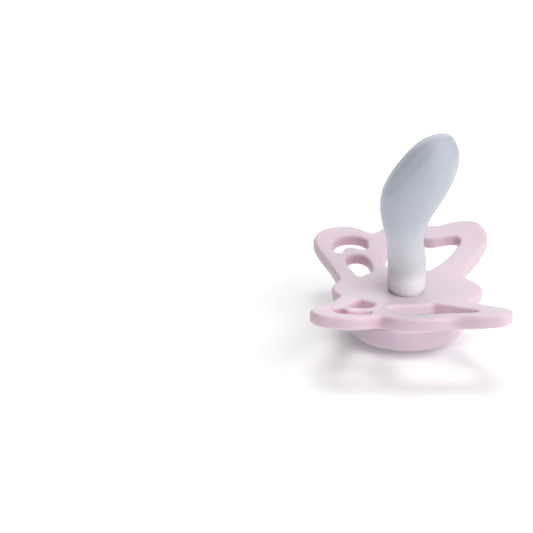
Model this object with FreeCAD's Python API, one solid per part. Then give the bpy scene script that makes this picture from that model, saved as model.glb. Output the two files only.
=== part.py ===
"""Pacifier: a butterfly-shaped shield, a soft hollow teat, the plug that holds it, and a domed button.

Millimetres. The teat stands up along +Z, X runs from wing to wing and +Y is the upper side of the
butterfly. The origin is on the teat's axis, at the crown of the button, which is the point it rests on.
"""
import FreeCAD, Part
import math
import os

# Shield: a plate of one thickness, bent so that both wings rise towards the mouth.
SHIELD_THICKNESS = 2.7
SHIELD_INNER_Z = 10.8
WING_BEND_RADIUS = 66.0
WING_BEND_END = 15.4
WING_BEND_FLARE = 0.1
CROSS_RADIUS = 223.0
SHIELD_EDGE_ROUND = 0.6

# Boss under the shield, which holds the teat, the plug and the button.
BOSS_RADIUS = 9.5
BOSS_BOTTOM_Z = 2.9
BOSS_CHAMFER = 0.4
BORE_RADIUS = 7.6
BORE_TOP_Z = 9.3
SNAP_GROOVE_RADIUS = 8.0
SNAP_Z = 4.9
SNAP_GROOVE_HEIGHT = 1.2

# Teat: one hollow silicone moulding with a flange at its foot.
NECK_HALF_X = 5.0
NECK_HALF_Y = 4.03
TEAT_WALL = 1.3
FLANGE_RADIUS = 7.4
FLANGE_THICKNESS = 1.6
NECK_CLEARANCE = 0.05

# The neck flexes about this level.
FLEX_Z = 19.6
FLEX_RADIUS = 4.6
FLEX_GAP = 0.08

# Plug that clamps the flange and stiffens the foot of the neck.
PLUG_TOP_Z = 14.1
PLUG_FLANGE_THICKNESS = 1.6
VENT_RADIUS = 0.6
PLUG_TIP_CHAMFER = 0.5

# Button: a domed cap with a sleeve that snaps into the boss.
BUTTON_RADIUS = 12.6
BUTTON_RIM_Z = 6.3
BUTTON_WALL = 1.6
BUTTON_DOME_RADIUS = 50.0
BUTTON_LAND_RADIUS = 3.0
BUTTON_CORNER_RADIUS = 3.0
RIM_ROUND = 0.6
SLEEVE_RADIUS = 7.5
SLEEVE_WALL = 1.3
SNAP_BEAD = 0.3
SNAP_CLEARANCE = 0.15
SLEEVE_ROOT = 0.4

# Half outlines (X, Y) of the shield and of the right-hand openings; the left half mirrors them.
SHIELD_HALF_OUTLINE = [
    (1.75, 15.75), (3.3, 15.1), (5.5, 13.45), (7.9, 12.75), (9.9, 13.3), (13.1, 15.05), (16.4, 16.95),
    (19.7, 18.5), (21.9, 19.2), (24.1, 19.3), (26.3, 18.9), (28.0, 18.15), (29.35, 16.8),
    (29.8, 15.05), (29.6, 11.55), (28.55, 8.25), (28.7, 6.95), (29.6, 5.2), (30.1, 3.25), (30.2, 1.65),
    (30.0, -0.5), (29.4, -2.25), (28.0, -4.25), (26.5, -5.55), (25.9, -6.45), (26.3, -7.45), (27.6, -9.05),
    (28.5, -11.05), (28.75, -12.55), (28.5, -14.55), (27.6, -16.75), (26.3, -18.45), (24.5, -19.5),
    (22.3, -20.05), (19.7, -19.65), (16.4, -18.5), (13.1, -16.95), (9.9, -15.75), (6.6, -14.65),
    (4.8, -14.3), (3.3, -15.05), (1.75, -15.6),
]
SHIELD_TOP = (0.0, 15.95)
SHIELD_BOTTOM = (0.0, -15.8)
WING_OPENING = [
    (11.05, 1.35), (11.55, -2.05), (12.3, -3.75), (14.9, -4.05), (19.3, -2.9), (22.6, -1.35), (23.9, 0.25),
    (24.15, 1.85), (23.4, 4.55), (22.85, 6.95), (23.4, 9.35), (23.6, 10.95), (23.2, 12.45), (21.8, 12.95),
    (19.6, 12.3), (17.3, 11.1), (15.0, 9.6), (13.1, 8.15), (11.2, 6.35), (10.35, 5.6), (10.1, 5.15),
    (10.25, 4.7),
]
OVAL_OPENING = [
    (7.3, -10.2), (7.05, -9.85), (7.3, -9.5), (8.1, -8.6), (9.15, -7.55), (11.5, -7.15), (14.3, -7.75),
    (16.0, -8.85), (16.45, -10.55), (15.35, -12.15), (13.5, -12.55), (11.0, -11.9), (8.8, -10.95),
]
CRESCENT_OPENING = [
    (20.5, -7.95), (19.2, -8.15), (19.1, -9.85), (19.7, -11.45), (19.0, -13.05), (17.1, -14.1),
    (17.3, -15.0), (20.2, -15.5), (22.9, -14.6), (24.2, -12.05), (23.8, -9.5), (22.2, -8.0),
]

# Teat sections from inside the neck to the tip: centre Y, centre Z, lean in degrees, half width X and
# half thickness.
TEAT_SECTIONS = [
    (0.0, 14.4, 0.0, NECK_HALF_X, NECK_HALF_Y),
    (0.0, 17.1, 0.0, 5.0, 4.0),
    (-0.25, 19.7, 0.0, 5.0, 3.95),
    (-0.5, 22.2, 1.0, 5.1, 3.9),
    (-0.8, 24.8, 6.0, 5.95, 4.65),
    (-0.9, 27.7, 12.0, 6.9, 5.55),
    (-0.15, 30.6, 18.0, 7.5, 6.2),
    (1.35, 33.4, 22.0, 7.8, 6.3),
    (3.1, 36.2, 24.0, 7.7, 6.05),
    (4.7, 38.8, 25.0, 7.15, 5.5),
    (6.05, 40.95, 26.0, 6.05, 4.65),
    (7.15, 42.65, 26.0, 4.4, 3.3),
    (7.75, 43.75, 26.0, 2.6, 1.9),
    (8.05, 44.3, 26.0, 1.1, 0.8),
]
# The tongue side of the bulb is flatter than the palate side, from this section on.
FIRST_FLAT_SECTION = 5
TONGUE_FLATTENING = 0.12

# Every section is a spline through this many points; a hollow thinner than this half is left out.
SECTION_POINTS = 16
THINNEST_HOLLOW = 0.5

PARTS_FOLDER = "parts"
# Longer than any piece, for cutting tools; and how far the uncut plate runs in X and in Y.
FAR = 60.0
WING_RUN = 20.0
SLAB_REACH = 24.0
TOUCHING = 0.01


def point(x, y, z):
    return FreeCAD.Vector(x, y, z)


def closed_spline(points):
    """A smooth closed wire through the points."""
    curve = Part.BSplineCurve()
    curve.interpolate(Points=points, PeriodicFlag=True)
    return Part.Wire([curve.toShape()])


def prism(outline):
    """The outline, extruded along Z past every face of the object."""
    wire = closed_spline([point(x, y, -FAR) for x, y in outline])
    return Part.Face(wire).extrude(point(0, 0, 2 * FAR))


def mirrored(outline):
    return [(-x, y) for x, y in outline]


def cylinder(radius, bottom, top):
    return Part.makeCylinder(radius, top - bottom, point(0, 0, bottom))


def bent_profile(level_y):
    """The plate's section at one Y: concentric arcs, with straight wings tangent to them."""
    rise = level_y ** 2 / (2 * CROSS_RADIUS)
    centre_z = SHIELD_INNER_Z + rise + WING_BEND_RADIUS
    slope = math.asin((WING_BEND_END + WING_BEND_FLARE * level_y) / WING_BEND_RADIUS)
    corners = []
    for radius in (WING_BEND_RADIUS, WING_BEND_RADIUS + SHIELD_THICKNESS):
        arc_x = radius * math.sin(slope)
        arc_z = centre_z - radius * math.cos(slope)
        tip_x = arc_x + WING_RUN * math.cos(slope)
        tip_z = arc_z + WING_RUN * math.sin(slope)
        corners.append([
            point(-tip_x, level_y, tip_z), point(-arc_x, level_y, arc_z),
            point(0, level_y, centre_z - radius),
            point(arc_x, level_y, arc_z), point(tip_x, level_y, tip_z),
        ])
    inner, outer = corners
    return Part.Wire([
        Part.makeLine(inner[0], inner[1]),
        Part.Arc(inner[1], inner[2], inner[3]).toShape(),
        Part.makeLine(inner[3], inner[4]),
        Part.makeLine(inner[4], outer[4]),
        Part.makeLine(outer[4], outer[3]),
        Part.Arc(outer[3], outer[2], outer[1]).toShape(),
        Part.makeLine(outer[1], outer[0]),
        Part.makeLine(outer[0], inner[0]),
    ])


def bent_slab():
    """The sections joined from below the butterfly to above it."""
    profiles = [bent_profile(level_y) for level_y in (-SLAB_REACH, 0.0, SLAB_REACH)]
    return Part.makeLoft(profiles, True, False)


def shield_plate():
    """The butterfly plate with its six openings, all edges rounded."""
    outline = [SHIELD_TOP] + SHIELD_HALF_OUTLINE + [SHIELD_BOTTOM] + mirrored(SHIELD_HALF_OUTLINE)[::-1]
    plate = bent_slab().common(prism(outline))
    for opening in (WING_OPENING, OVAL_OPENING, CRESCENT_OPENING):
        plate = plate.cut(prism(opening)).cut(prism(mirrored(opening)))
    return plate.makeFillet(SHIELD_EDGE_ROUND, plate.Edges)


def ellipse_prism(half_x, half_y, bottom, top):
    """An upright column of oval section; its long side lies along X."""
    curve = Part.Ellipse(point(0, 0, bottom), half_x, half_y)
    return Part.Face(Part.Wire([curve.toShape()])).extrude(point(0, 0, top - bottom))


def shield():
    """The plate with the boss below it, bored for the teat's flange, the plug and the button's sleeve."""
    boss = cylinder(BOSS_RADIUS, BOSS_BOTTOM_Z, SHIELD_INNER_Z - SHIELD_THICKNESS / 2)
    bottom_rim = [edge for edge in boss.Edges if edge.BoundBox.ZMax < BOSS_BOTTOM_Z + TOUCHING]
    boss = boss.makeChamfer(BOSS_CHAMFER, bottom_rim)
    body = shield_plate().fuse(boss)
    body = body.cut(cylinder(BORE_RADIUS, 0, BORE_TOP_Z))
    half_groove = SNAP_GROOVE_HEIGHT / 2
    body = body.cut(cylinder(SNAP_GROOVE_RADIUS, SNAP_Z - half_groove, SNAP_Z + half_groove))
    hole_x = NECK_HALF_X + NECK_CLEARANCE
    hole_y = NECK_HALF_Y + NECK_CLEARANCE
    return body.cut(ellipse_prism(hole_x, hole_y, 0, FAR)).removeSplitter()


def teat_section(centre_y, centre_z, lean, half_x, half_y, flat, wall):
    """One closed section, square to the teat's axis, with its tongue side flattened by the share flat."""
    half_x -= wall
    half_y -= wall
    tilt = math.radians(lean)
    points = []
    for step in range(SECTION_POINTS):
        angle = 2 * math.pi * step / SECTION_POINTS
        across = half_x * math.cos(angle)
        depth = half_y * math.sin(angle)
        if depth < 0:
            depth *= 1 - flat * (1 - abs(across) / half_x)
        points.append(point(across, centre_y + depth * math.cos(tilt), centre_z - depth * math.sin(tilt)))
    return closed_spline(points)


def teat_loft(wall):
    """The teat's outer skin as a solid, or its hollow when wall is more than zero."""
    sections = []
    for index, (centre_y, centre_z, lean, half_x, half_y) in enumerate(TEAT_SECTIONS):
        if half_y < wall + THINNEST_HOLLOW:
            continue
        flat = TONGUE_FLATTENING if index >= FIRST_FLAT_SECTION else 0.0
        sections.append(teat_section(centre_y, centre_z, lean, half_x, half_y, flat, wall))
    return Part.makeLoft(sections, True, False)


def flex_drum(radius):
    """A drum about the flex axis, wide enough to cross the neck."""
    return Part.makeCylinder(radius, FAR, point(-FAR / 2, 0, FLEX_Z), point(1, 0, 0))


def above_flex():
    return Part.makeBox(FAR, FAR, FAR, point(-FAR / 2, -FAR / 2, FLEX_Z))


def teat_neck():
    """Flange and neck, up to the hollow of the flex drum."""
    flange = cylinder(FLANGE_RADIUS, BORE_TOP_Z - FLANGE_THICKNESS, BORE_TOP_Z)
    neck = ellipse_prism(NECK_HALF_X, NECK_HALF_Y, BORE_TOP_Z - FLANGE_THICKNESS, FLEX_Z)
    hollow = ellipse_prism(NECK_HALF_X - TEAT_WALL, NECK_HALF_Y - TEAT_WALL, 0, FAR)
    return flange.fuse(neck).cut(hollow).cut(flex_drum(FLEX_RADIUS + FLEX_GAP)).removeSplitter()


def teat_bulb():
    """The hollow bulb above the flex axis, with a rounded foot that rolls in the neck."""
    hollow_bulb = teat_loft(0.0).cut(teat_loft(TEAT_WALL))
    return hollow_bulb.common(above_flex().fuse(flex_drum(FLEX_RADIUS)))


def retainer_plug():
    """Round flange with an oval spigot that fills the foot of the neck, and a vent through both."""
    flange_top = BORE_TOP_Z - FLANGE_THICKNESS
    flange_bottom = flange_top - PLUG_FLANGE_THICKNESS
    spigot_x = NECK_HALF_X - TEAT_WALL - NECK_CLEARANCE
    spigot_y = NECK_HALF_Y - TEAT_WALL - NECK_CLEARANCE
    spigot = ellipse_prism(spigot_x, spigot_y, flange_bottom, PLUG_TOP_Z)
    tip_edges = [edge for edge in spigot.Edges if edge.BoundBox.ZMin > PLUG_TOP_Z - TOUCHING]
    spigot = spigot.makeChamfer(PLUG_TIP_CHAMFER, tip_edges)
    plug = cylinder(FLANGE_RADIUS, flange_bottom, flange_top).fuse(spigot)
    return plug.cut(cylinder(VENT_RADIUS, 0, FAR)).removeSplitter()


def turned(edges):
    """A solid of revolution about Z from edges that close in the XZ plane."""
    face = Part.Face(Part.Wire(Part.__sortEdges__(edges)))
    return face.revolve(point(0, 0, 0), point(0, 0, 1), 360)


def button():
    """A domed cap, open towards the shield, with the snap sleeve standing in it."""
    dome_centre = math.sqrt(BUTTON_DOME_RADIUS ** 2 - BUTTON_LAND_RADIUS ** 2)
    corner_x = BUTTON_RADIUS - BUTTON_CORNER_RADIUS
    corner_reach = BUTTON_DOME_RADIUS - BUTTON_CORNER_RADIUS
    corner_z = dome_centre - math.sqrt(corner_reach ** 2 - corner_x ** 2)
    tangent_x = corner_x * BUTTON_DOME_RADIUS / corner_reach
    tangent_z = dome_centre - math.sqrt(BUTTON_DOME_RADIUS ** 2 - tangent_x ** 2)
    mid_angle = (math.asin(corner_x / corner_reach) + math.pi / 2) / 2

    def on_corner(radius):
        return point(corner_x + radius * math.sin(mid_angle), 0, corner_z - radius * math.cos(mid_angle))

    def on_dome(radius, x):
        return point(x, 0, dome_centre - math.sqrt(radius ** 2 - x ** 2))

    inner_dome = BUTTON_DOME_RADIUS - BUTTON_WALL
    inner_corner = BUTTON_CORNER_RADIUS - BUTTON_WALL
    inner_radius = BUTTON_RADIUS - BUTTON_WALL
    inner_tangent_x = tangent_x * inner_dome / BUTTON_DOME_RADIUS
    axis_bottom = point(0, 0, 0)
    land = point(BUTTON_LAND_RADIUS, 0, 0)
    tangent = point(tangent_x, 0, tangent_z)
    side_low = point(BUTTON_RADIUS, 0, corner_z)
    side_high = point(BUTTON_RADIUS, 0, BUTTON_RIM_Z)
    inner_high = point(inner_radius, 0, BUTTON_RIM_Z)
    inner_low = point(inner_radius, 0, corner_z)
    inner_tangent = on_dome(inner_dome, inner_tangent_x)
    mid_dome = on_dome(BUTTON_DOME_RADIUS, (BUTTON_LAND_RADIUS + tangent_x) / 2)
    inner_top = on_dome(inner_dome, 0)
    cap = turned([
        Part.makeLine(axis_bottom, land),
        Part.Arc(land, mid_dome, tangent).toShape(),
        Part.Arc(tangent, on_corner(BUTTON_CORNER_RADIUS), side_low).toShape(),
        Part.makeLine(side_low, side_high),
        Part.makeLine(side_high, inner_high),
        Part.makeLine(inner_high, inner_low),
        Part.Arc(inner_low, on_corner(inner_corner), inner_tangent).toShape(),
        Part.Arc(inner_tangent, on_dome(inner_dome, inner_tangent_x / 2), inner_top).toShape(),
        Part.makeLine(inner_top, axis_bottom),
    ])
    rim = [edge for edge in cap.Edges if edge.BoundBox.ZMin > BUTTON_RIM_Z - TOUCHING]
    cap = cap.makeFillet(RIM_ROUND, rim)
    return cap.fuse(snap_sleeve()).removeSplitter()


def snap_sleeve():
    """The sleeve from the cap's floor up to the plug, with the bead that clicks into the boss."""
    top = BORE_TOP_Z - FLANGE_THICKNESS - PLUG_FLANGE_THICKNESS
    bottom = BUTTON_WALL - SLEEVE_ROOT
    bead_height = SNAP_GROOVE_HEIGHT - 2 * SNAP_CLEARANCE
    inner = SLEEVE_RADIUS - SLEEVE_WALL
    outline = [
        point(inner, 0, bottom), point(SLEEVE_RADIUS, 0, bottom),
        point(SLEEVE_RADIUS, 0, SNAP_Z - bead_height / 2), point(SLEEVE_RADIUS + SNAP_BEAD, 0, SNAP_Z),
        point(SLEEVE_RADIUS, 0, SNAP_Z + bead_height / 2), point(SLEEVE_RADIUS, 0, top),
        point(inner, 0, top), point(inner, 0, bottom),
    ]
    return turned(Part.makePolygon(outline).Edges)


def main():
    """Write every piece to its own file."""
    os.makedirs(PARTS_FOLDER, exist_ok=True)
    pieces = {
        "shield": shield(),
        "teat_neck": teat_neck(),
        "teat_bulb": teat_bulb(),
        "retainer_plug": retainer_plug(),
        "button": button(),
    }
    for name, piece in pieces.items():
        solid_count = len(piece.Solids)
        if solid_count != 1 or not piece.isValid():
            raise ValueError(f"{name} has {solid_count} solids or is not valid")
        piece.Solids[0].exportStep(os.path.join(PARTS_FOLDER, name + ".step"))
        print(name, round(piece.Volume, 1), "mm3")


main()
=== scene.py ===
import math

import bmesh
import bpy
import numpy as np
from mathutils import Matrix, Vector


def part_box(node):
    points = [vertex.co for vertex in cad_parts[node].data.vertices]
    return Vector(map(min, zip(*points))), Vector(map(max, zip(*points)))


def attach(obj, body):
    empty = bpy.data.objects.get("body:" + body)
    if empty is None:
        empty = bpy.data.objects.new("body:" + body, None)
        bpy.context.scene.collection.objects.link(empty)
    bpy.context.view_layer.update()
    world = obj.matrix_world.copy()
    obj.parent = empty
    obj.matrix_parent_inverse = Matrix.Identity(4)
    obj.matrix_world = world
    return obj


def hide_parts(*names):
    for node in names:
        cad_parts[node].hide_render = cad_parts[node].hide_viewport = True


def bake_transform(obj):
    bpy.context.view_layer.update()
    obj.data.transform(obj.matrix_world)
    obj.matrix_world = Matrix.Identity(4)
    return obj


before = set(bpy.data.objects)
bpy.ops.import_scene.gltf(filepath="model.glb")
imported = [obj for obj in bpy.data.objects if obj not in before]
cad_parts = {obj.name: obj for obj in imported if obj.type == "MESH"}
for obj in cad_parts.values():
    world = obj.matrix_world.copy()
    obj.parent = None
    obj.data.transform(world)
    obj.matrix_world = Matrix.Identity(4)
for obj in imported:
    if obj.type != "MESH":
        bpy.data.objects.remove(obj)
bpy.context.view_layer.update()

MM = 0.001

# Corners and points taken from the frame, in metres.
NECK_LOW, NECK_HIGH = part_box("teat_neck")
BULB_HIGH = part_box("teat_bulb")[1]
BUTTON_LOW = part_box("button")[0]

# Camera: it looks at the target from this azimuth, elevation and distance, then yaw and pitch turn it
# aside, so that the object stands right of the middle. Angles are in degrees.
CAMERA_AZIMUTH = 86.8
CAMERA_ELEVATION = 20.69
CAMERA_ROLL = -1.11
CAMERA_YAW = 6.01
CAMERA_PITCH = -0.98
CAMERA_DISTANCE = 284.7 * MM
CAMERA_TARGET = Vector((0.0, 0.13, 10.8)) * MM
CAMERA_LENS = 90.1
CAMERA_SENSOR = 36.0
CAMERA_CLIP_START = 0.01

# Teat, in millimetres: its wall, and its mesh's number of sections and of points round each.
TEAT_WALL = 1.3
TEAT_SECTION_COUNT = 150
TEAT_SIDES = 180
# The skin is drawn hollow only as high as the plug stands in it. Above that it is one body, so that light
# scatters right through it, as it does through the thin walls of the real one.
HOLLOW_TOP = 14.9
FLANGE_THICKNESS = 1.6
FLANGE_EDGE = 0.2
NECK_HALF_X = 5.0
NECK_HALF_Y = 4.03
# Sections from the foot to the tip: centre Y, centre Z, lean in degrees, half width X, half thickness.
TEAT_SECTIONS = [
    (0.0, 9.3, 0.0, 4.25, 3.3),
    (0.0, 10.5, 0.0, 4.3, 3.35),
    (0.0, 11.05, 0.0, 4.6, 3.65),
    (0.0, 11.7, 0.0, 4.88, 3.93),
    (0.0, 12.6, 0.0, NECK_HALF_X, 4.05),
    (0.0, 14.4, 0.0, NECK_HALF_X, NECK_HALF_Y),
    (0.0, 17.1, 0.0, 5.0, 4.0),
    (-0.25, 19.7, 0.0, 5.0, 3.95),
    (-0.5, 22.2, 1.0, 5.1, 3.9),
    (-0.8, 24.8, 6.0, 5.95, 4.65),
    (-0.9, 27.7, 12.0, 6.9, 5.55),
    (-0.15, 30.6, 18.0, 7.5, 6.2),
    (1.35, 33.4, 22.0, 7.8, 6.3),
    (3.1, 36.2, 24.0, 7.7, 6.05),
    (4.7, 38.8, 25.0, 7.15, 5.5),
    (6.05, 40.95, 26.0, 6.05, 4.65),
    (7.15, 42.65, 26.0, 4.4, 3.3),
    (7.75, 43.75, 26.0, 2.6, 1.9),
    (8.05, 44.3, 26.0, 1.1, 0.8),
]

# The tongue side of the bulb is levelled a little: where that starts along Z, over how many millimetres
# it comes in, and its full share of the depth.
FLAT_START = 22.0
FLAT_RISE = 6.0
FLAT_SHARE = 0.12

# The soft crest round the tongue side: levels along Z, and the angle in each section at which it lies,
# from the tongue side's middle at -90 degrees to the side of the bulb at 0. Its height and its groove's
# depth are in millimetres, and their widths and offset in degrees. Along Z it comes in from its start
# over the rise, and fades out over the fall before its end.
CREST_LEVELS = (27.0, 28.5, 30.6, 33.4, 36.2, 38.8, 40.95, 43.0)
CREST_ANGLES = (-90.0, -78.0, -55.0, -36.0, -30.0, -26.0, -24.0, -30.0)
CREST_HEIGHT = 0.16
CREST_WIDTH = 7.0
CREST_GROOVE = 0.26
CREST_GROOVE_OFFSET = 12.0
CREST_GROOVE_WIDTH = 9.0
CREST_START = 27.0
CREST_RISE = 5.0
CREST_END = 44.0
CREST_FALL = 4.0

# Shield: the grid on which its edges are rounded, in millimetres, and how far and how many times they
# are relaxed.
SHIELD_GRID = 0.2
SHIELD_RELAX_FACTOR = 0.5
SHIELD_RELAX_PASSES = 22
# The plate's inner face, the top of the bore under it, and the collar that closes the plate's hole
# on the teat's foot, in millimetres.
SHIELD_FACE = 10.8
BORE_TOP = 9.3
COLLAR_SQUEEZE = 0.05
COLLAR_OVERLAP = 0.5
COLLAR_SIDES = 96

# Plastic: each piece's colour, the colour it clouds to, and a deeper pink painted into its recesses as
# shade. The grain's depth and the scatter's scale are in millimetres, and noise scales here and below in
# cells per metre.
SHIELD_PINKS = ((0.71, 0.60, 0.67), (0.70, 0.59, 0.66), (0.60, 0.30, 0.41))
BUTTON_PINKS = ((0.76, 0.64, 0.72), (0.75, 0.63, 0.71), (0.70, 0.46, 0.56))
PLUG_PINKS = ((0.73, 0.60, 0.68), (0.72, 0.58, 0.66), (0.62, 0.36, 0.47))
PLASTIC_CLOUD_SCALE = 70.0
PLASTIC_GRAIN_SCALE = 5200.0
PLASTIC_ROUGHNESS = (0.40, 0.50)
PLASTIC_GRAIN_STRENGTH = 0.12
PLASTIC_GRAIN_DEPTH = 0.04
PLASTIC_IOR = 1.49
PLASTIC_SCATTER_WEIGHT = 0.6
PLASTIC_SCATTER_RADIUS = (1.0, 0.15, 0.3)
PLASTIC_SCATTER_SCALE = 3.0
# How near another face of the same piece has to be, in millimetres, for the plastic to be painted a deeper
# pink as shade, and the openness at which this painted shade is deepest and at which it is gone.
RECESS_SHADE_REACH = 5.0
RECESS_SHADE_OPENNESS = (0.35, 0.95)

# Silicone: the shares that the clouds keep of its colour, and its scatter in millimetres, which is
# short in the hollow foot and long in the body above, and how far above the hollow it reaches that.
SILICONE_CLOUD_SCALE = 160.0
SILICONE_CLOUDS = (0.95, 1.0)
SILICONE_HAZE_SCALE = 900.0
SILICONE_ROUGHNESS = (0.31, 0.37)
SILICONE_IOR = 1.41
SILICONE_SCATTER_WEIGHT = 1.0
SILICONE_SCATTER_RADIUS = (1.0, 1.0, 1.1)
SILICONE_SCATTER_SCALES = (0.6, 30.0)
SILICONE_SCATTER_RISE = 4.0
# Silicone: colours at shares of the height from the shield's face to the tip, darker towards the tip. The
# pale, faintly pink neck and foot are a painted glow of light through the thin silicone.
SILICONE_TONES_AND_FOOT_GLOW = (
    (0.0, (0.98, 0.92, 0.95)),
    (0.1, (0.90, 0.89, 0.93)),
    (0.22, (0.60, 0.63, 0.68)),
    (0.5, (0.45, 0.49, 0.54)),
    (0.8, (0.41, 0.44, 0.49)),
    (1.0, (0.33, 0.35, 0.40)),
)

# Studio: broad soft lights, each with the way to it and its strength on a white surface that faces it.
# The +Y side is the bright one.
SOFT_LIGHTS = {
    "top": ((0.0, 0.0, 1.0), 0.42),
    "right_high": ((0.0, 1.0, 1.0), 0.20),
    "right_low": ((0.0, 1.0, 0.27), 0.12),
    "front_right": ((1.0, 1.0, 1.0), 0.38),
    "front_high": ((1.0, 0.0, 1.0), 0.10),
    "front_low": ((1.0, 0.0, 0.27), 0.07),
    "back_high": ((-1.0, 0.0, 1.0), 0.16),
    "back_low": ((-1.0, 0.0, 0.27), 0.15),
}
SOFT_LIGHT_ANGLE = 40.0

# Floor: half its side in metres. It glows a little, as a lit white sweep does.
FLOOR_HALF = 1.5
FLOOR_COLOUR = (0.93, 0.93, 0.935)
FLOOR_ROUGHNESS = 0.9
FLOOR_SPECULAR_LEVEL = 0.1
FLOOR_GLOW = 0.13


# ---------------------------------------------------------------------------------------- materials

def new_material(name):
    """A plain node material; returns it with its node tree and its shader."""
    material = bpy.data.materials.new(name)
    material.use_nodes = True
    tree = material.node_tree
    shader = tree.nodes["Principled BSDF"]
    return material, tree, shader


def add_node(tree, kind, **settings):
    """A node of one kind, with input values and properties given by name."""
    node = tree.nodes.new(kind)
    for key, value in settings.items():
        if hasattr(node, key):
            setattr(node, key, value)
        else:
            node.inputs[key.replace("_", " ")].default_value = value
    return node


def noise(tree, scale, detail=2.0, roughness=0.5):
    """Noise over the object's own coordinates; scale is in cells per metre."""
    place = add_node(tree, "ShaderNodeTexCoord")
    texture = add_node(tree, "ShaderNodeTexNoise", Scale=scale, Detail=detail, Roughness=roughness)
    tree.links.new(place.outputs["Object"], texture.inputs["Vector"])
    return texture


def add_bump(tree, shader, height, strength, distance):
    """A bump of the shader's normal by the height; distance is in metres."""
    bump = add_node(tree, "ShaderNodeBump", Strength=strength, Distance=distance)
    tree.links.new(height, bump.inputs["Height"])
    tree.links.new(bump.outputs["Normal"], shader.inputs["Normal"])


def spread(tree, value, low, high, from_low=0.3, from_high=0.7):
    """The value, remapped to low..high from its own span, which is that of noise if none is given."""
    remap = add_node(tree, "ShaderNodeMapRange")
    remap.inputs["From Min"].default_value = from_low
    remap.inputs["From Max"].default_value = from_high
    remap.inputs["To Min"].default_value = low
    remap.inputs["To Max"].default_value = high
    tree.links.new(value, remap.inputs["Value"])
    return remap.outputs["Result"]


def blend_colours(tree, factor, first, second):
    """A mix of two colours by a factor that varies over the surface."""
    mix = add_node(tree, "ShaderNodeMix", data_type="RGBA")
    mix.inputs["A"].default_value = (*first, 1.0)
    mix.inputs["B"].default_value = (*second, 1.0)
    tree.links.new(factor, mix.inputs["Factor"])
    return mix.outputs["Result"]


def moulded_plastic(name, colour, shade, recess_shade_pink):
    """Satin polypropylene: a fine mould grain, faint flow clouding, and a deeper pink painted into its
    recesses as shade.
    """
    material, tree, shader = new_material(name)
    clouds = noise(tree, scale=PLASTIC_CLOUD_SCALE, detail=3.0)
    grain = noise(tree, scale=PLASTIC_GRAIN_SCALE, detail=2.0, roughness=0.6)
    tint = blend_colours(tree, spread(tree, clouds.outputs["Fac"], 0.0, 1.0), colour, shade)
    # Painted shade: where ambient occlusion finds a recess, the colour turns to a deeper pink.
    openness = add_node(tree, "ShaderNodeAmbientOcclusion", Distance=RECESS_SHADE_REACH * MM, only_local=True)
    open_share = spread(tree, openness.outputs["AO"], 0.0, 1.0, *RECESS_SHADE_OPENNESS)
    recess_shade = add_node(tree, "ShaderNodeMix", data_type="RGBA")
    recess_shade.inputs["A"].default_value = (*recess_shade_pink, 1.0)
    tree.links.new(tint, recess_shade.inputs["B"])
    tree.links.new(open_share, recess_shade.inputs["Factor"])
    tree.links.new(recess_shade.outputs["Result"], shader.inputs["Base Color"])
    rough = spread(tree, grain.outputs["Fac"], *PLASTIC_ROUGHNESS)
    tree.links.new(rough, shader.inputs["Roughness"])
    add_bump(tree, shader, grain.outputs["Fac"], PLASTIC_GRAIN_STRENGTH, PLASTIC_GRAIN_DEPTH * MM)
    shader.inputs["IOR"].default_value = PLASTIC_IOR
    shader.inputs["Subsurface Weight"].default_value = PLASTIC_SCATTER_WEIGHT
    shader.inputs["Subsurface Radius"].default_value = PLASTIC_SCATTER_RADIUS
    shader.inputs["Subsurface Scale"].default_value = PLASTIC_SCATTER_SCALE * MM
    return material


def silicone(name):
    """Milky silicone: bluish grey, with a painted glow of light paling it down the neck and faintly pink at
    its foot, where the plug stands.
    """
    material, tree, shader = new_material(name)
    place = add_node(tree, "ShaderNodeTexCoord")
    split = add_node(tree, "ShaderNodeSeparateXYZ")
    tree.links.new(place.outputs["Object"], split.inputs["Vector"])
    level = split.outputs["Z"]
    height = spread(tree, level, 0.0, 1.0, from_low=SHIELD_FACE * MM, from_high=BULB_HIGH.z)
    # Painted glow: the ramp pales the neck and foot as if lit through the silicone.
    ramp = add_node(tree, "ShaderNodeValToRGB")
    stops = ramp.color_ramp.elements
    while len(stops) < len(SILICONE_TONES_AND_FOOT_GLOW):
        stops.new(1.0)
    for stop, (share, colour) in zip(stops, SILICONE_TONES_AND_FOOT_GLOW):
        stop.position = share
        stop.color = (*colour, 1.0)
    tree.links.new(height, ramp.inputs["Fac"])
    clouds = noise(tree, scale=SILICONE_CLOUD_SCALE, detail=3.0)
    clouded = add_node(tree, "ShaderNodeMix", data_type="RGBA", blend_type="MULTIPLY")
    clouded.inputs["Factor"].default_value = 1.0
    tree.links.new(ramp.outputs["Color"], clouded.inputs["A"])
    tree.links.new(spread(tree, clouds.outputs["Fac"], *SILICONE_CLOUDS), clouded.inputs["B"])
    tree.links.new(clouded.outputs["Result"], shader.inputs["Base Color"])
    haze = noise(tree, scale=SILICONE_HAZE_SCALE, detail=2.0)
    tree.links.new(spread(tree, haze.outputs["Fac"], *SILICONE_ROUGHNESS), shader.inputs["Roughness"])
    short, long = SILICONE_SCATTER_SCALES
    scatter = spread(
        tree, level, short * MM, long * MM,
        from_low=HOLLOW_TOP * MM, from_high=(HOLLOW_TOP + SILICONE_SCATTER_RISE) * MM,
    )
    tree.links.new(scatter, shader.inputs["Subsurface Scale"])
    shader.inputs["IOR"].default_value = SILICONE_IOR
    shader.inputs["Subsurface Weight"].default_value = SILICONE_SCATTER_WEIGHT
    shader.inputs["Subsurface Radius"].default_value = SILICONE_SCATTER_RADIUS
    return material


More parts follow.
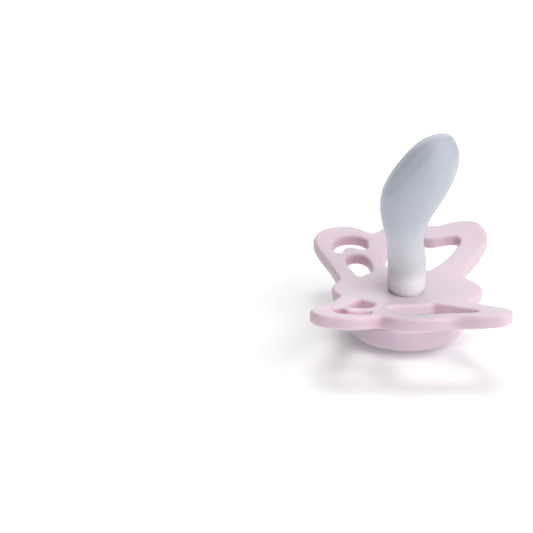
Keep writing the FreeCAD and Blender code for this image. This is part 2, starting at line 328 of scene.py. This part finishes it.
def studio_floor(name):
    """Plain pale matte floor."""
    material, _, shader = new_material(name)
    shader.inputs["Base Color"].default_value = (*FLOOR_COLOUR, 1.0)
    shader.inputs["Roughness"].default_value = FLOOR_ROUGHNESS
    shader.inputs["Specular IOR Level"].default_value = FLOOR_SPECULAR_LEVEL
    shader.inputs["Emission Color"].default_value = (1.0, 1.0, 1.0, 1.0)
    shader.inputs["Emission Strength"].default_value = FLOOR_GLOW
    return material


# -------------------------------------------------------------------------------------------- teat

def smooth_sections(count):
    """The teat's sections, joined by a smooth curve and read off at even steps along the axis."""
    rows = np.array(TEAT_SECTIONS)
    steps = np.hypot(np.diff(rows[:, 0]), np.diff(rows[:, 1]))
    along = np.concatenate([[0.0], np.cumsum(steps)])
    slopes = np.gradient(rows, along, axis=0)
    places = np.linspace(0.0, along[-1], count)
    index = np.clip(np.searchsorted(along, places) - 1, 0, len(along) - 2)
    span = (along[index + 1] - along[index])[:, None]
    t = ((places - along[index])[:, None]) / span
    start, end = rows[index], rows[index + 1]
    start_slope, end_slope = slopes[index] * span, slopes[index + 1] * span
    return (
        start * (2 * t ** 3 - 3 * t ** 2 + 1) + start_slope * (t ** 3 - 2 * t ** 2 + t)
        + end * (3 * t ** 2 - 2 * t ** 3) + end_slope * (t ** 3 - t ** 2)
    )


def crest_relief(angle, crest):
    """How far the skin stands out at an angle: a soft crest, and a shallow groove on its tongue side."""
    ridge = CREST_HEIGHT * math.exp(-((angle - crest) / CREST_WIDTH) ** 2)
    groove = CREST_GROOVE * math.exp(-((angle - crest + CREST_GROOVE_OFFSET) / CREST_GROOVE_WIDTH) ** 2)
    return ridge - groove


def ring(centre_y, centre_z, lean, half_x, half_y, flat, sides, crested=0.0):
    """Points of one section, square to the axis; flat is how much the tongue side is levelled."""
    tilt = math.radians(lean)
    crest = np.interp(centre_z, CREST_LEVELS, CREST_ANGLES)
    points = []
    for side in range(sides):
        angle = 2 * math.pi * side / sides
        across = half_x * math.cos(angle)
        depth = half_y * math.sin(angle)
        if depth < 0:
            depth *= 1 - flat * (1 - abs(across) / half_x)
            fold = -math.degrees(math.acos(abs(math.cos(angle))))
            relief = crested * crest_relief(fold, crest)
            across += relief * math.cos(angle)
            depth += relief * math.sin(angle)
        along_y = centre_y + depth * math.cos(tilt)
        along_z = centre_z - depth * math.sin(tilt)
        points.append(Vector((across, along_y, along_z)) * MM)
    return points


def teat_rings(sides):
    """Rings from the top of the foot's hollow, down inside, round the flange, and up outside to the tip."""
    rows = smooth_sections(TEAT_SECTION_COUNT)
    levels = rows[:, 1]
    flat = np.clip((levels - FLAT_START) / FLAT_RISE, 0.0, 1.0) * FLAT_SHARE
    rise = np.clip((levels - CREST_START) / CREST_RISE, 0.0, 1.0)
    fall = np.clip((CREST_END - levels) / CREST_FALL, 0.0, 1.0)
    outer = [ring(*row, share, sides, crested) for row, share, crested in zip(rows, flat, rise * fall)]
    inner = [
        ring(centre_y, centre_z, lean, half_x - TEAT_WALL, half_y - TEAT_WALL, share, sides)
        for (centre_y, centre_z, lean, half_x, half_y), share in zip(rows, flat)
        if centre_z < HOLLOW_TOP
    ]
    flange_low = NECK_LOW.z / MM
    flange_high = flange_low + FLANGE_THICKNESS
    radius = NECK_HIGH.x / MM
    foot_x, foot_y = TEAT_SECTIONS[0][3:]
    flange_outline = (
        (flange_low, foot_x - TEAT_WALL, foot_y - TEAT_WALL),
        (flange_low, radius - FLANGE_EDGE, radius - FLANGE_EDGE),
        (flange_low + FLANGE_EDGE, radius, radius),
        (flange_high - FLANGE_EDGE, radius, radius),
        (flange_high, radius - FLANGE_EDGE, radius - FLANGE_EDGE),
    )
    flange = [ring(0, level, 0, half_x, half_y, 0, sides) for level, half_x, half_y in flange_outline]
    return inner[::-1] + flange + outer


def skin_rings(name, rings):
    """A closed mesh through the rings, with a fan at each end."""
    mesh = bmesh.new()
    loops = [[mesh.verts.new(point) for point in points] for points in rings]
    for lower, upper in zip(loops, loops[1:]):
        for side in range(len(lower)):
            following = (side + 1) % len(lower)
            mesh.faces.new((lower[side], lower[following], upper[following], upper[side]))
    for loop, flip in ((loops[0], True), (loops[-1], False)):
        middle = mesh.verts.new(sum((v.co for v in loop), Vector()) / len(loop))
        for side in range(len(loop)):
            pair = (loop[side], loop[(side + 1) % len(loop)])
            mesh.faces.new((*(pair[::-1] if flip else pair), middle))
    bmesh.ops.recalc_face_normals(mesh, faces=mesh.faces)
    data = bpy.data.meshes.new(name)
    mesh.to_mesh(data)
    mesh.free()
    data.shade_smooth()
    piece = bpy.data.objects.new(name, data)
    bpy.context.scene.collection.objects.link(piece)
    return piece


def make_teat():
    """The whole silicone moulding, drawn as one smooth skin that leans towards its tip."""
    piece = skin_rings("silicone_teat", teat_rings(TEAT_SIDES))
    piece.data.materials.append(silicone("milky_silicone"))
    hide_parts("teat_neck", "teat_bulb")
    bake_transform(piece)


# ------------------------------------------------------------------------------------------ shield

def rebuilt(source, grid, passes):
    """The mesh, rebuilt on an even grid and relaxed, so that its edges turn soft and round."""
    data = source.copy()
    data.transform(Matrix.Scale(1 / MM, 4))
    work = bpy.data.objects.new("rebuild", data)
    bpy.context.scene.collection.objects.link(work)
    remesh = work.modifiers.new("grid", "REMESH")
    remesh.mode = "VOXEL"
    remesh.voxel_size = grid
    relax = work.modifiers.new("relax", "SMOOTH")
    relax.factor = SHIELD_RELAX_FACTOR
    relax.iterations = passes
    depsgraph = bpy.context.evaluated_depsgraph_get()
    result = bpy.data.meshes.new_from_object(work.evaluated_get(depsgraph))
    result.transform(Matrix.Scale(MM, 4))
    bpy.data.objects.remove(work)
    bpy.data.meshes.remove(data)
    return result


def oval_collar(inner_x, inner_y, outer_x, outer_y, bottom, top, sides):
    """A closed upright oval tube, in metres; sizes are half widths in millimetres."""
    corners = (
        (outer_x, outer_y, bottom),
        (outer_x, outer_y, top),
        (inner_x, inner_y, top),
        (inner_x, inner_y, bottom),
    )
    angles = np.linspace(0.0, 2 * math.pi, sides, endpoint=False)
    mesh = bmesh.new()
    loops = [
        [
            mesh.verts.new(Vector((half_x * math.cos(angle), half_y * math.sin(angle), level)) * MM)
            for angle in angles
        ]
        for half_x, half_y, level in corners
    ]
    for first, second in zip(loops, loops[1:] + loops[:1]):
        for side in range(sides):
            following = (side + 1) % sides
            mesh.faces.new((first[side], first[following], second[following], second[side]))
    bmesh.ops.recalc_face_normals(mesh, faces=mesh.faces)
    return mesh


def make_shield(material):
    """The butterfly plate with its boss, its edges rounded and its hole snug on the teat's foot."""
    foot_x, foot_y = TEAT_SECTIONS[1][3:]
    mesh = oval_collar(
        foot_x - COLLAR_SQUEEZE, foot_y - COLLAR_SQUEEZE,
        NECK_HALF_X + COLLAR_OVERLAP, NECK_HALF_Y + COLLAR_OVERLAP,
        BORE_TOP, SHIELD_FACE, COLLAR_SIDES,
    )
    mesh.from_mesh(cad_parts["shield"].data)
    source = bpy.data.meshes.new("shield_and_collar")
    mesh.to_mesh(source)
    mesh.free()
    data = rebuilt(source, SHIELD_GRID, SHIELD_RELAX_PASSES)
    bpy.data.meshes.remove(source)
    data.materials.clear()
    data.materials.append(material)
    data.shade_smooth()
    piece = bpy.data.objects.new("butterfly_shield", data)
    bpy.context.scene.collection.objects.link(piece)
    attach(piece, "root")
    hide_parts("shield")


# ----------------------------------------------------------------------------------- CAD nodes kept

def dress(node, material):
    """A CAD node keeps its mesh, drawn smooth, and gets its material."""
    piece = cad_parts[node]
    piece.data.materials.clear()
    piece.data.materials.append(material)
    piece.data.shade_smooth()


# -------------------------------------------------------------------------- floor, lights and camera

def make_floor():
    """A wide pale floor under the button's crown."""
    data = bpy.data.meshes.new("floor")
    corners = [(FLOOR_HALF * x, FLOOR_HALF * y, 0) for x, y in ((-1, -1), (1, -1), (1, 1), (-1, 1))]
    data.from_pydata(corners, [], [(0, 1, 2, 3)])
    floor = bpy.data.objects.new("floor", data)
    floor.location.z = BUTTON_LOW.z
    data.materials.append(studio_floor("pale_floor"))
    bpy.context.scene.collection.objects.link(floor)


def make_lights():
    """Broad soft lights round the upper half, and a white backdrop that gives no light of its own."""
    world = bpy.data.worlds.new("studio")
    world.use_nodes = True
    backdrop = world.node_tree.nodes["Background"]
    backdrop.inputs["Color"].default_value = (1.0, 1.0, 1.0, 1.0)
    path = add_node(world.node_tree, "ShaderNodeLightPath")
    world.node_tree.links.new(path.outputs["Is Camera Ray"], backdrop.inputs["Strength"])
    bpy.context.scene.world = world
    for name, (way, strength) in SOFT_LIGHTS.items():
        light = bpy.data.lights.new(name, "SUN")
        light.energy = strength * math.pi
        light.angle = math.radians(SOFT_LIGHT_ANGLE)
        lamp = bpy.data.objects.new(name, light)
        lamp.rotation_euler = (-Vector(way)).to_track_quat("-Z", "Y").to_euler()
        bpy.context.scene.collection.objects.link(lamp)


def camera_axes():
    """The way back from the target, and the right, up and forward axes of the camera."""
    azimuth, elevation = math.radians(CAMERA_AZIMUTH), math.radians(CAMERA_ELEVATION)
    back = Vector((
        math.sin(azimuth) * math.cos(elevation),
        -math.cos(azimuth) * math.cos(elevation),
        math.sin(elevation),
    ))
    forward = -back
    right = forward.cross(Vector((0, 0, 1))).normalized()
    up = right.cross(forward)
    roll = math.radians(CAMERA_ROLL)
    right, up = (
        right * math.cos(roll) - up * math.sin(roll),
        right * math.sin(roll) + up * math.cos(roll),
    )
    pitch = math.radians(CAMERA_PITCH)
    up, forward = (
        up * math.cos(pitch) + forward * math.sin(pitch),
        forward * math.cos(pitch) - up * math.sin(pitch),
    )
    yaw = math.radians(CAMERA_YAW)
    right, forward = (
        right * math.cos(yaw) + forward * math.sin(yaw),
        forward * math.cos(yaw) - right * math.sin(yaw),
    )
    return back, right, up, forward


def make_camera():
    """The camera, at its distance from the target."""
    back, right, up, forward = camera_axes()
    data = bpy.data.cameras.new("camera")
    data.lens = CAMERA_LENS
    data.sensor_width = CAMERA_SENSOR
    data.clip_start = CAMERA_CLIP_START
    camera = bpy.data.objects.new("camera", data)
    place = Matrix.Translation(CAMERA_TARGET + back * CAMERA_DISTANCE)
    camera.matrix_world = place @ Matrix((right, up, -forward)).transposed().to_4x4()
    bpy.context.scene.collection.objects.link(camera)
    bpy.context.scene.camera = camera


# ------------------------------------------------------------------------------------------- build

make_camera()
make_lights()
make_floor()
make_shield(moulded_plastic("pink_shield_plastic", *SHIELD_PINKS))
dress("button", moulded_plastic("pink_button_plastic", *BUTTON_PINKS))
dress("retainer_plug", moulded_plastic("pink_plug_plastic", *PLUG_PINKS))
make_teat()

bpy.context.scene.view_settings.view_transform = "Standard"
